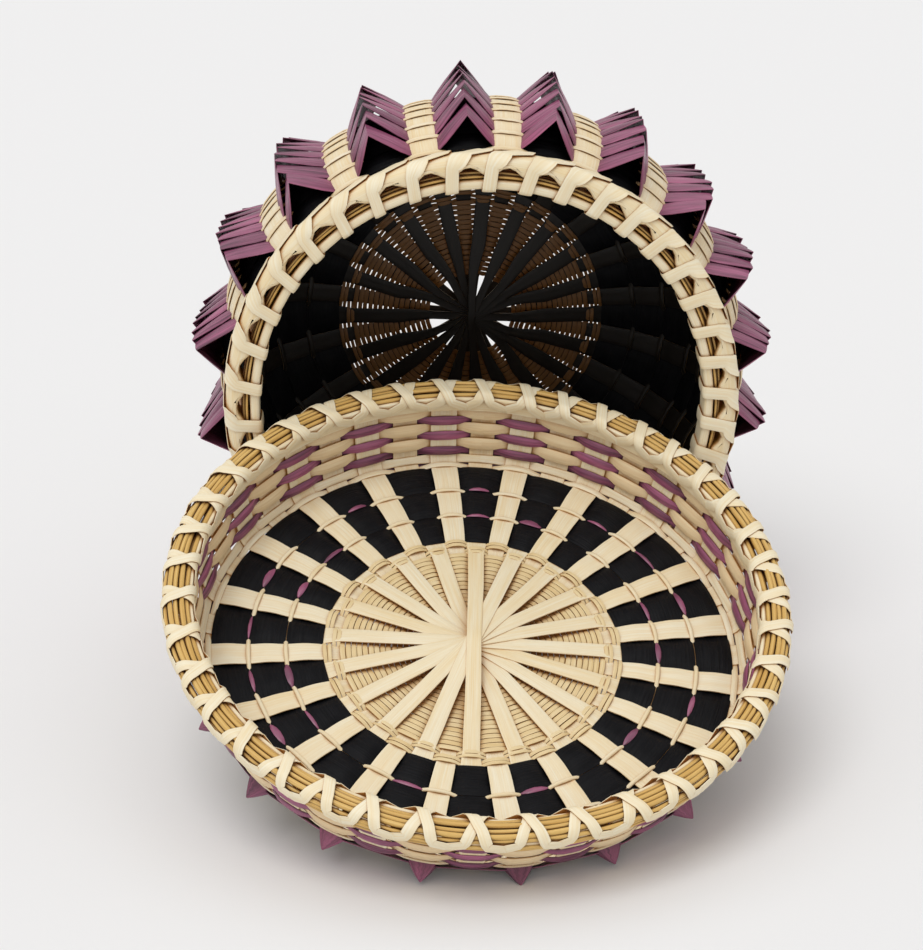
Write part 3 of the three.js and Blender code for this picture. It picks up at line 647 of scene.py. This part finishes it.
def points_row(bundle, woven, middle, thickness=0.5):
    """Folds a strip to a point between each two outside standards."""
    radius, height, out_r, out_z = woven.line(middle)
    rise = out_z * POINT_RISE
    away_size = math.hypot(out_r, rise)
    for k in range(STANDARDS):
        loops = []
        tip_azimuth = woven.inside[k] + bundle.chance.uniform(-0.6, 0.6)
        own_reach = basket_reach(tip_azimuth, middle) * bundle.chance.uniform(0.94, 1.02)
        along = polar(tip_azimuth, -out_z, out_r)
        tip = polar(tip_azimuth, radius + own_reach * out_r / away_size,
                    height + own_reach * rise / away_size)
        outward = polar(tip_azimuth, out_r, out_z)
        tilt = math.radians(bundle.chance.uniform(13, 22))
        own_width = POINT_WIDTH * bundle.chance.uniform(0.95, 1.05)
        leant = along * math.cos(tilt) + outward * math.sin(tilt)
        for azimuth, sign in ((woven.outside[k], 1), (woven.following[k], -1)):
            foot = polar(azimuth, radius - 0.1 * out_r, height - 0.1 * out_z)
            foot += polar(azimuth + 90, 1, 0) * (POINT_TUCK * sign)
            arm = tip - foot
            face = along.cross(arm).normalized()
            face = face if face.dot(outward) > 0 else -face
            for share in POINT_SHARES if sign > 0 else POINT_SHARES[-2::-1]:
                half = own_width / 2 * (0.8 + 0.2 * min(1, share / 0.3))
                crown = POINT_CROWN * math.sin(math.pi * (0.12 + 0.8 * share))
                centre_line = foot + arm * share
                across = (along * (1 - share) + leant * share).normalized()
                facing = outward if share == 1 else face
                row = []
                for x in POINT_ACROSS:
                    raised = facing * (crown * (1 - x * x))
                    row.append((centre_line + across * (x * half) + raised, facing))
                loops.append(flat_loop(row, thickness))
        bundle.lay(loops)


for i in range(POINT_ROWS):
    low, high = basket.rows[-2 - POINT_ROWS + i], basket.rows[-1 - POINT_ROWS + i]
    row = Bundle(300 + i)
    points_row(row, basket, (low + high) / 2)
    stands_for = [f"basket_point_weaver_{i}"] if i else []
    row.piece(f"basket_points_row_{i + 1}", basket, "purple_ash", purple_ash, stands_for, sharp=28)

# The rim holds the ends of the standards between two hoops of thick ash, with golden grass
# strands laid in between, and one strip of ash wound round it all, through every gap.
RIM_TOP = 116
RIM_BOTTOM = 104


def hoop(bundle, section, count=240):
    """A bent hoop; section(azimuth) gives the loop of (radius, height) round it there."""
    loops = []
    for i in range(count):
        azimuth = 360 * i / count
        loops.append([polar(azimuth, r, z) for r, z in section(azimuth)])
    bundle.lay(loops, closed=True)


def squeeze(woven, azimuth):
    """1 where the lashing holds the rim and 0 halfway between two windings."""
    nearest = min(abs((azimuth - gap + 180) % 360 - 180) for gap in woven.gaps)
    return math.cos(math.pi * min(0.5, nearest / HALF_PITCH)) ** 2


def rounded(low_r, high_r, low_z, high_z, round_in, round_out, steps=3):
    """Loop of a hoop's section, with its top edges rounded and its outer bottom edge too."""
    loop = [(low_r, low_z)]
    for i in range(steps + 1):
        angle = math.pi / 2 * i / steps
        in_by, down_by = round_in * (1 - math.cos(angle)), round_in * (1 - math.sin(angle))
        loop.append((low_r + in_by, high_z - down_by))
    for i in range(steps + 1):
        angle = math.pi / 2 * (1 - i / steps)
        in_by, down_by = round_out * (1 - math.cos(angle)), round_out * (1 - math.sin(angle))
        loop.append((high_r - in_by, high_z - down_by))
    for i in range(steps + 1):
        angle = math.pi / 2 * i / steps
        in_by, up_by = round_out * (1 - math.cos(angle)), round_out * (1 - math.sin(angle))
        loop.append((high_r - in_by, low_z + up_by))
    return loop


INNER_HOOP_FROM, INNER_HOOP_TO = 86.7, 90.3
OUTER_HOOP_FROM, OUTER_HOOP_TO = 95.4, 100
HOOP_GIVES = 0.2
HOOP_BELLIES = 3.6


def inner_hoop_section(azimuth):
    pulled = HOOP_GIVES * squeeze(basket, azimuth)
    return rounded(INNER_HOOP_FROM + pulled, INNER_HOOP_TO + pulled,
                   RIM_BOTTOM - 1, RIM_TOP - 0.8, round_in=1.3, round_out=1.3)


def outer_hoop_section(azimuth):
    """Shaved hollow inside, so that windows stay open between the windings."""
    tight = squeeze(basket, azimuth)
    return rounded(OUTER_HOOP_FROM - HOOP_BELLIES * tight, OUTER_HOOP_TO - HOOP_GIVES * tight,
                   RIM_BOTTOM - 0.5, RIM_TOP - 0.2, round_in=1.6, round_out=4.2, steps=5)


inner_hoop = Bundle(21)
hoop(inner_hoop, inner_hoop_section)
inner_hoop.piece("basket_inner_hoop", basket, "natural_ash", natural_ash,
                 ["basket_rim_inner_hoop"], sharp=60)
outer_hoop = Bundle(22)
hoop(outer_hoop, outer_hoop_section)
outer_hoop.piece("basket_outer_hoop", basket, "natural_ash", natural_ash,
                 ["basket_rim_outer_hoop"], sharp=60)

# Its deep colour is painted shade for the gaps between the strands.
golden_grass = ash(
    "golden_grass", pale=(0.85, 0.6, 0.22), streak=(0.6, 0.33, 0.07), deep=(0.12, 0.035, 0.006),
    roughness=0.42, lines=(1.8, 0.02), relief=0.5,
)
BASKET_STRAND = 1.1
BASKET_STRANDS = [(91.5, 113.9, 1), (92.7, 112.7, 1), (91.8, 112.0, 1), (93.0, 110.9, 1)]


def strands(bundle, places, width, wander, count=360):
    """Grass strands that run round inside the rim, each wandering a little by itself.

    A place is the strand's radius, its height and its share of the full width.
    """
    for radius, height, share in places:
        seed = bundle.chance.random() * 100
        loops = []
        for i in range(count):
            azimuth = 360 * i / count
            turn = polar(azimuth, 1, 0) * 2.2
            r = radius + wander * noise.noise(turn + Vector((seed, 0, 0)))
            z = height + wander * noise.noise(turn + Vector((0, seed, 5)))
            outwards, up = polar(azimuth, 1, 0), Vector((0, 0, 1))
            thick = width * share
            loops.append(round_loop(polar(azimuth, r, z), outwards, up, thick, thick))
        bundle.lay(loops, closed=True)


grass = Bundle(23)
strands(grass, BASKET_STRANDS, BASKET_STRAND, wander=0.8)
grass.piece("basket_rim_grass", basket, "rim_filler", golden_grass, ["basket_rim_filler"], sharp=60)


CORNER_STEPS = 5
LONG_RUN = 3
LONG_RUN_STEPS = 3


def rim_outline(low_r, high_r, low_z, high_z, inner_corner, outer_corner, shares):
    """The way of a strip once round a rim's section, from low inside to low outside.

    Each point has its outward direction and its share of the way to the next gap, and shares
    gives the first and last share of each of the four rounded corners.
    """
    a, b = inner_corner, outer_corner
    corners = [
        (a, low_r + a, low_z + a, 180, 270), (a, low_r + a, high_z - a, 90, 180),
        (b, high_r - b, high_z - b, 0, 90), (b, high_r - b, low_z + b, -90, 0),
    ]
    around = []
    for (corner, r, z, low, high), (first, last) in zip(corners, shares):
        for i in range(CORNER_STEPS + 1):
            angle = math.radians(high + (low - high) * i / CORNER_STEPS)
            share = first + (last - first) * i / CORNER_STEPS
            around.append((r + corner * math.cos(angle), z + corner * math.sin(angle),
                           math.cos(angle), math.sin(angle), share))
    dense = []
    for here, there in zip(around, around[1:] + [(*around[0][:4], 1 + around[0][4])]):
        far = math.hypot(there[0] - here[0], there[1] - here[1])
        for i in range(LONG_RUN_STEPS if far > LONG_RUN else 1):
            t = i / LONG_RUN_STEPS
            dense.append(tuple(a + (b - a) * t for a, b in zip(here, there)))
    return dense


STRIP_ACROSS = (-1, -0.7, 0, 0.7, 1)
STRIP_TONE = 0.1
STRIP_CROWN = 0.12
OVERLAP_WIDENS = 0.55
OVERLAP_TILTS = 0.32


def wind(bundle, gaps, outline, width, thickness, bulge=None, sunk=None):
    """A strip wound round the rim once for each gap; where it is sunk, one edge lies flush."""
    path = []
    for k, gap in enumerate(gaps):
        step = (gaps[(k + 1) % len(gaps)] - gap + 180) % 360 - 180
        jitter = bundle.chance.uniform(-0.07, 0.07)
        own = bundle.chance.uniform(0.93, 1.07)
        for r, z, face_r, face_z, share in outline:
            lifted = bulge(share) if bulge else 0.0
            lean = share + jitter * math.sin(math.pi * min(1, share))
            azimuth = gap + step * lean
            point = polar(azimuth, r + lifted * face_r, z + lifted * face_z)
            path.append((point, polar(azimuth, face_r, face_z), sunk(share) if sunk else 0.0, own))
    loops = []
    for i, (point, face, flush, own) in enumerate(path):
        heading = path[(i + 1) % len(path)][0] - path[i - 1][0]
        side = heading.cross(face).normalized()
        half = width * own / 2 * (1 + OVERLAP_WIDENS * flush)
        row = []
        for x in STRIP_ACROSS:
            raised = STRIP_CROWN * (1 - x * x) + OVERLAP_TILTS * flush * (x - 0.7)
            row.append((point + side * (x * half) + face * raised, face))
        loops.append(flat_loop(row, thickness))
    bundle.lay(loops, closed=True, tone=STRIP_TONE)


def flush_outside(share):
    """Over the outer hoop each winding overlaps the one before it."""
    return reached(share, 0.1, 0.15) * (1 - reached(share, 0.9, 0.1))


BASKET_STRIP_WIDTH = 4.8
BASKET_STRIP_THICKNESS = 0.45
lashing = Bundle(24)
outline = rim_outline(
    low_r=86.1, high_r=100.5, low_z=103, high_z=116.1, inner_corner=1.6, outer_corner=4.6,
    shares=[(0, 0), (0.0, 0.02), (0.1, 0.45), (0.9, 1.0)],
)
wind(lashing, basket.gaps, outline, BASKET_STRIP_WIDTH, BASKET_STRIP_THICKNESS,
     sunk=flush_outside)
lashing.piece("basket_rim_strip", basket, "natural_ash", natural_ash,
              ["basket_rim_lashing"], sharp=50)

# The lid lies inside up and leans its far edge in the basket's mouth. It is woven like the
# bottom of the basket: a fine natural middle, then three rows of black weavers.
LID_AXIS = Vector(frame["joints"][0]["axis"])
LID_HOOP_MIDDLE = 28.25
lid_hoop_low, lid_hoop_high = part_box("lid_rim_outer_hoop")
lid_hoop_centre = (lid_hoop_low + lid_hoop_high) / 2
lid_base = lid_hoop_centre - LID_AXIS.normalized() * (LID_HOOP_MIDDLE * MILLIMETRE)
LID_FLOOR = 98
LID_CORNER_TURN = math.radians(75)
LID_CORNER_RADIUS = 5
lid = Woven(
    body="lid",
    place=lying(lid_base, LID_AXIS, Vector((0, 1, 0))),
    height=0,
    stretches=[(LID_FLOOR, 0.0), (LID_CORNER_RADIUS * LID_CORNER_TURN, LID_CORNER_TURN)],
    start=-0.3, swing=3.2, towards=281,
    rows=WIDE_ROWS + [LID_FLOOR],
)
LID_HUB_TO_RIM = 131
LID_INSIDE_WIDTHS = (6.0, 7.6, 10.0)
LID_OUTSIDE_WIDTHS = (6.3, 8.4, 9.5)
lid_centre = Bundle(31)
fine_rows(lid_centre, lid)
lid_centre.piece("lid_middle_weave", lid, "natural_ash", strand_ash, ["lid_centre_disc"], sharp=60)
lid_inside = Bundle(32)
long_splints(lid_inside, lid, lid.inside, inside_lift(lid, rise=3.4), LID_INSIDE_WIDTHS,
             LID_HUB_TO_RIM)
lid_inside.piece("lid_inside_standards", lid, "natural_ash", natural_ash,
                 ["lid_inner_splints"])
lid_outside = Bundle(33)
long_splints(lid_outside, lid, lid.outside, outside_lift(lid, rise=5.5), LID_OUTSIDE_WIDTHS,
             LID_HUB_TO_RIM, topmost=-1)
lid_outside.piece("lid_outside_standards", lid, "natural_ash", natural_ash,
                  ["lid_outer_splints"])
for i, (low, high) in enumerate(zip(lid.rows, lid.rows[1:])):
    row = Bundle(400 + i)
    wide_weaver(row, lid, low + SLACK_BETWEEN_ROWS, high - SLACK_BETWEEN_ROWS,
                WIDE_SWING, puff=0.9, steps=7)
    row.piece(f"lid_black_weaver_row_{i + 1}", lid, "black_ash", black_ash,
              [f"lid_black_weaver_{i + 1}"])
for i, distance in enumerate(lid.rows[1:-1]):
    row = Bundle(420 + i)
    thin_weaver(row, lid, distance, swing=1.3, width=1.7, height=1.1)
    row.piece(f"lid_thin_weaver_row_{i + 1}", lid, "natural_ash", natural_ash,
              [f"lid_thin_weaver_{i + 1}"], sharp=60)

# A purple strand runs beside each thin weaver of the lid's floor. It only peeps out in the
# middle of each black square, in the crease between two rows.
SLIVER_ALONG = (-1, -0.85, -0.5, 0, 0.5, 0.85, 1)
SLIVER_SHOWS = 0.62
SLIVER_SUNK, SLIVER_BULGE = 0.2, 0.85
SLIVER_TIP, SLIVER_HEIGHT = 0.3, 0.5


def sliver(bundle, woven, distance, azimuth):
    """The short length of a purple strand that bulges out between two black squares."""
    reach, wide = bundle.chance.uniform(4.2, 6.4), bundle.chance.uniform(1.0, 2.8)
    beside = distance + bundle.chance.uniform(0, 1)
    radius = woven.line(beside)[0]
    loops = []
    for share in SLIVER_ALONG:
        full = 1 - share * share
        turned = azimuth + math.degrees(reach * share / radius)
        centre, side, face = woven.at(turned, beside, -SLIVER_SUNK - SLIVER_BULGE * full)
        loops.append(round_loop(centre, side, face, SLIVER_TIP + wide * full ** 0.7,
                                SLIVER_TIP + SLIVER_HEIGHT * full))
    bundle.lay(loops)


slivers = Bundle(430)
for distance in lid.rows[1:-1]:
    for azimuth in lid.outside:
        if slivers.chance.random() < SLIVER_SHOWS:
            sliver(slivers, lid, distance, azimuth)
slivers.piece("lid_purple_strands", lid, "purple_ash", purple_ash, [], sharp=60)

# At the lid's corner two natural weavers turn the standards up. Below them runs a purple
# strip that is folded to a small thorn at each inside standard; the lid stands on them.
corner = Bundle(440)
thin_weaver(corner, lid, 98.9, swing=1.3, width=2.4, height=1.0)
wide_weaver(corner, lid, 100.4, 103.9, swing=0.5, puff=0.3, thickness=0.7)
corner.piece("lid_corner_weavers", lid, "natural_ash", natural_ash, [], sharp=60)
THORN_FOOT = 12
THORN_REACH = 8.2
THORN_START = 0.3
THORN_DEPTH = 3.0
THORN_BLUNT = 0.3
THORN_CURVE = 0.85
THORN_ALONG = (0, 0.2, 0.5, 0.8, 1)
THORN_SECTION = ((-1, -0.5), (0, -0.95), (1, -0.5), (0.75, 0.6), (-0.75, 0.6))


def thorns(bundle, woven, middle):
    """Small wedges that come to a point, one on each inside standard."""
    radius, height, out_r, out_z = woven.line(middle)
    rise = out_z * POINT_RISE
    size = math.hypot(out_r, rise)
    for azimuth in woven.inside:
        reach = THORN_REACH * bundle.chance.uniform(0.9, 1.0)
        bent = bundle.chance.uniform(-0.8, 0.8)
        side, along = polar(azimuth + 90, 1, 0), polar(azimuth, -out_z, out_r)
        loops = []
        for share in THORN_ALONG:
            away = THORN_START + (reach - THORN_START) * share
            centre = polar(azimuth, radius + away * out_r / size, height + away * rise / size)
            centre += side * (bent * share)
            half = THORN_FOOT / 2 * (1 - share) ** THORN_CURVE + THORN_BLUNT
            deep = THORN_DEPTH * (1 - share) + THORN_BLUNT
            loops.append([centre + side * (x * half) + along * (y * deep)
                          for x, y in THORN_SECTION])
        bundle.lay(loops)


lid_points = Bundle(441)
thorns(lid_points, lid, 101.3)
wide_weaver(lid_points, lid, 99.4, 102.8, swing=0.2, puff=0.2, away=1.5)
lid_points.piece("lid_points", lid, "purple_ash", purple_ash, ["lid_point_weaver"], sharp=35)

# The lid's wall is woven with narrow splints, purple and natural by turns: inside, the purple
# ones show over the inside standards and the natural ones between them.
# Its deep colour is painted shade for the creases between the wall's weavers.
wall_ash = ash(
    "wall_ash", pale=(0.95, 0.8, 0.53), streak=(0.84, 0.61, 0.34), deep=(0.6, 0.27, 0.06),
    roughness=0.44, lines=(1.6, 0.03), relief=0.4,
)
LID_WALL_START = 104.5
LID_WALL_PITCH = 3.42
PURPLE_WALL_WIDTH = 4.0
NATURAL_WALL_WIDTH = 5.1
WALL_SWING, WALL_PUFF = 1.05, 0.55
WALL_THICKNESS = 0.7


def wall_weaver(bundle, woven, middle, width, sign):
    """A narrow weaver, puffed where it shows and pinched to a point where it dives."""
    seed = bundle.chance.random() * 100
    loops = []
    for azimuth, wave in woven.stations(6):
        stray = 0.3 * noise.noise(Vector((seed, azimuth * 0.06, 0)))
        half = width / 2 * (0.74 + 0.26 * abs(wave) ** 0.7)
        row = []
        for x in STRIP_ACROSS:
            out = sign * wave * (WALL_SWING + WALL_PUFF * (1 - x * x))
            place, _, face = woven.at(azimuth, middle + stray + x * half, out)
            row.append((place, face))
        loops.append(flat_loop(row, WALL_THICKNESS))
    bundle.lay(loops, closed=True)


for i in range(3):
    purple_row, natural_row = Bundle(450 + i), Bundle(460 + i)
    low = LID_WALL_START + 2 * i * LID_WALL_PITCH
    wall_weaver(purple_row, lid, low + 1.5, PURPLE_WALL_WIDTH, sign=-1)
    wall_weaver(natural_row, lid, low + LID_WALL_PITCH + 1.4, NATURAL_WALL_WIDTH, sign=1)
    purple_row.piece(f"lid_purple_weaver_row_{i + 1}", lid, "purple_ash", purple_ash,
                     [f"lid_purple_weaver_{i + 1}"])
    natural_row.piece(f"lid_natural_weaver_row_{i + 1}", lid, "natural_ash", wall_ash,
                      [f"lid_natural_weaver_{i + 1}"])

# The lid's rim is a thick roll of golden grass between two slim hoops. Two strips are wound
# round it in opposite directions and cross on its top over every standard.
def lid_inner_section(azimuth):
    return rounded(low_r=104.4, high_r=106.2, low_z=25.2, high_z=31.4,
                   round_in=0.8, round_out=0.8)


def lid_outer_section(azimuth):
    return rounded(low_r=112.4, high_r=114.4, low_z=26.0, high_z=30.2,
                   round_in=0.9, round_out=1.0)


def bulged(share):
    """The second strip stands out a little, because it crosses over the first one."""
    return 0.7 * math.sin(math.pi * min(1, share)) ** 0.5


lid_inner_hoop = Bundle(34)
hoop(lid_inner_hoop, lid_inner_section)
lid_inner_hoop.piece("lid_inner_hoop", lid, "natural_ash", natural_ash,
                     ["lid_rim_inner_hoop"], sharp=60)
lid_outer_hoop = Bundle(35)
hoop(lid_outer_hoop, lid_outer_section)
lid_outer_hoop.piece("lid_outer_hoop", lid, "natural_ash", natural_ash,
                     ["lid_rim_outer_hoop"], sharp=60)
LID_STRAND = 1.9
LID_STRANDS = [
    (106.9, 31.4, 1), (108.7, 32.2, 1.1), (110.6, 32.3, 1.0), (112.4, 31.9, 1.1),
    (107.8, 29.9, 1), (110.2, 30.1, 1),
    (113.9, 30.6, 0.9), (114.2, 28.9, 0.9), (113.9, 27.3, 0.9),
]
lid_grass = Bundle(36)
strands(lid_grass, LID_STRANDS, LID_STRAND, wander=0.9)
lid_grass.piece("lid_rim_grass", lid, "rim_filler", golden_grass, ["lid_rim_filler"], sharp=60)
LID_STRIP_WIDTH = 4.1
LID_STRIP_THICKNESS = 0.5
lid_outline = rim_outline(
    low_r=103.9, high_r=115.2, low_z=24.8, high_z=33.3, inner_corner=2.9, outer_corner=3.6,
    shares=[(0, 0.02), (0.34, 0.5), (0.62, 0.74), (0.98, 1.0)],
)
right_strip = Bundle(37)
wind(right_strip, lid.gaps, lid_outline, LID_STRIP_WIDTH, LID_STRIP_THICKNESS)
right_strip.piece("lid_rim_strip_right", lid, "natural_ash", natural_ash,
                  ["lid_rim_lashing_right"], sharp=50)
left_strip = Bundle(38)
wind(left_strip, lid.gaps[::-1], lid_outline, LID_STRIP_WIDTH, LID_STRIP_THICKNESS,
     bulge=bulged)
left_strip.piece("lid_rim_strip_left", lid, "natural_ash", natural_ash,
                 ["lid_rim_lashing_left"], sharp=50)

# A plain pale floor runs on behind both pieces. The light is soft: a pale room all round, and
# two wide lamps from above, the stronger one in front.
floor = bpy.data.objects.new("floor", bpy.data.meshes.new("floor"))
floor.data.from_pydata([(-6, -4, 0), (6, -4, 0), (6, 9, 0), (-6, 9, 0)], [], [(0, 1, 2, 3)])
bpy.context.scene.collection.objects.link(floor)
floor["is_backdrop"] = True
paper = bpy.data.materials.new("paper")
paper.use_nodes = True
paper_shader = paper.node_tree.nodes["Principled BSDF"]
paper_shader.inputs["Base Color"].default_value = (0.85, 0.85, 0.855, 1)
paper_shader.inputs["Roughness"].default_value = 0.9
paper_shader.inputs["Specular IOR Level"].default_value = 0.1
floor.data.materials.append(paper)

room = bpy.data.worlds.new("room")
bpy.context.scene.world = room
room.use_nodes = True
seen = node(room.node_tree, "ShaderNodeBackground", Color=(0.84, 0.84, 0.85, 1), Strength=1)
glow = node(room.node_tree, "ShaderNodeBackground", Color=(1, 0.99, 0.98, 1), Strength=0.61)
path_kind = node(room.node_tree, "ShaderNodeLightPath")
either = node(room.node_tree, "ShaderNodeMixShader")
room.node_tree.links.new(path_kind.outputs["Is Camera Ray"], either.inputs[0])
room.node_tree.links.new(glow.outputs[0], either.inputs[1])
room.node_tree.links.new(seen.outputs[0], either.inputs[2])
room.node_tree.links.new(either.outputs[0], room.node_tree.nodes["World Output"].inputs[0])


def soft_sun(name, place, spread, power):
    """A wide soft source far away, so that the floor is evenly lit."""
    lamp = bpy.data.objects.new(name, bpy.data.lights.new(name, "SUN"))
    lamp.data.energy = power
    lamp.data.angle = math.radians(spread)
    lamp.location = place
    lamp.rotation_euler = (-Vector(place)).to_track_quat("-Z", "Y").to_euler()
    bpy.context.scene.collection.objects.link(lamp)


soft_sun("key", place=(-0.5, -0.85, 1.9), spread=36, power=1.1)
soft_sun("top", place=(-0.2, 0.6, 2.0), spread=60, power=0.36)

bpy.context.scene.view_settings.view_transform = "Standard"

low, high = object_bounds()
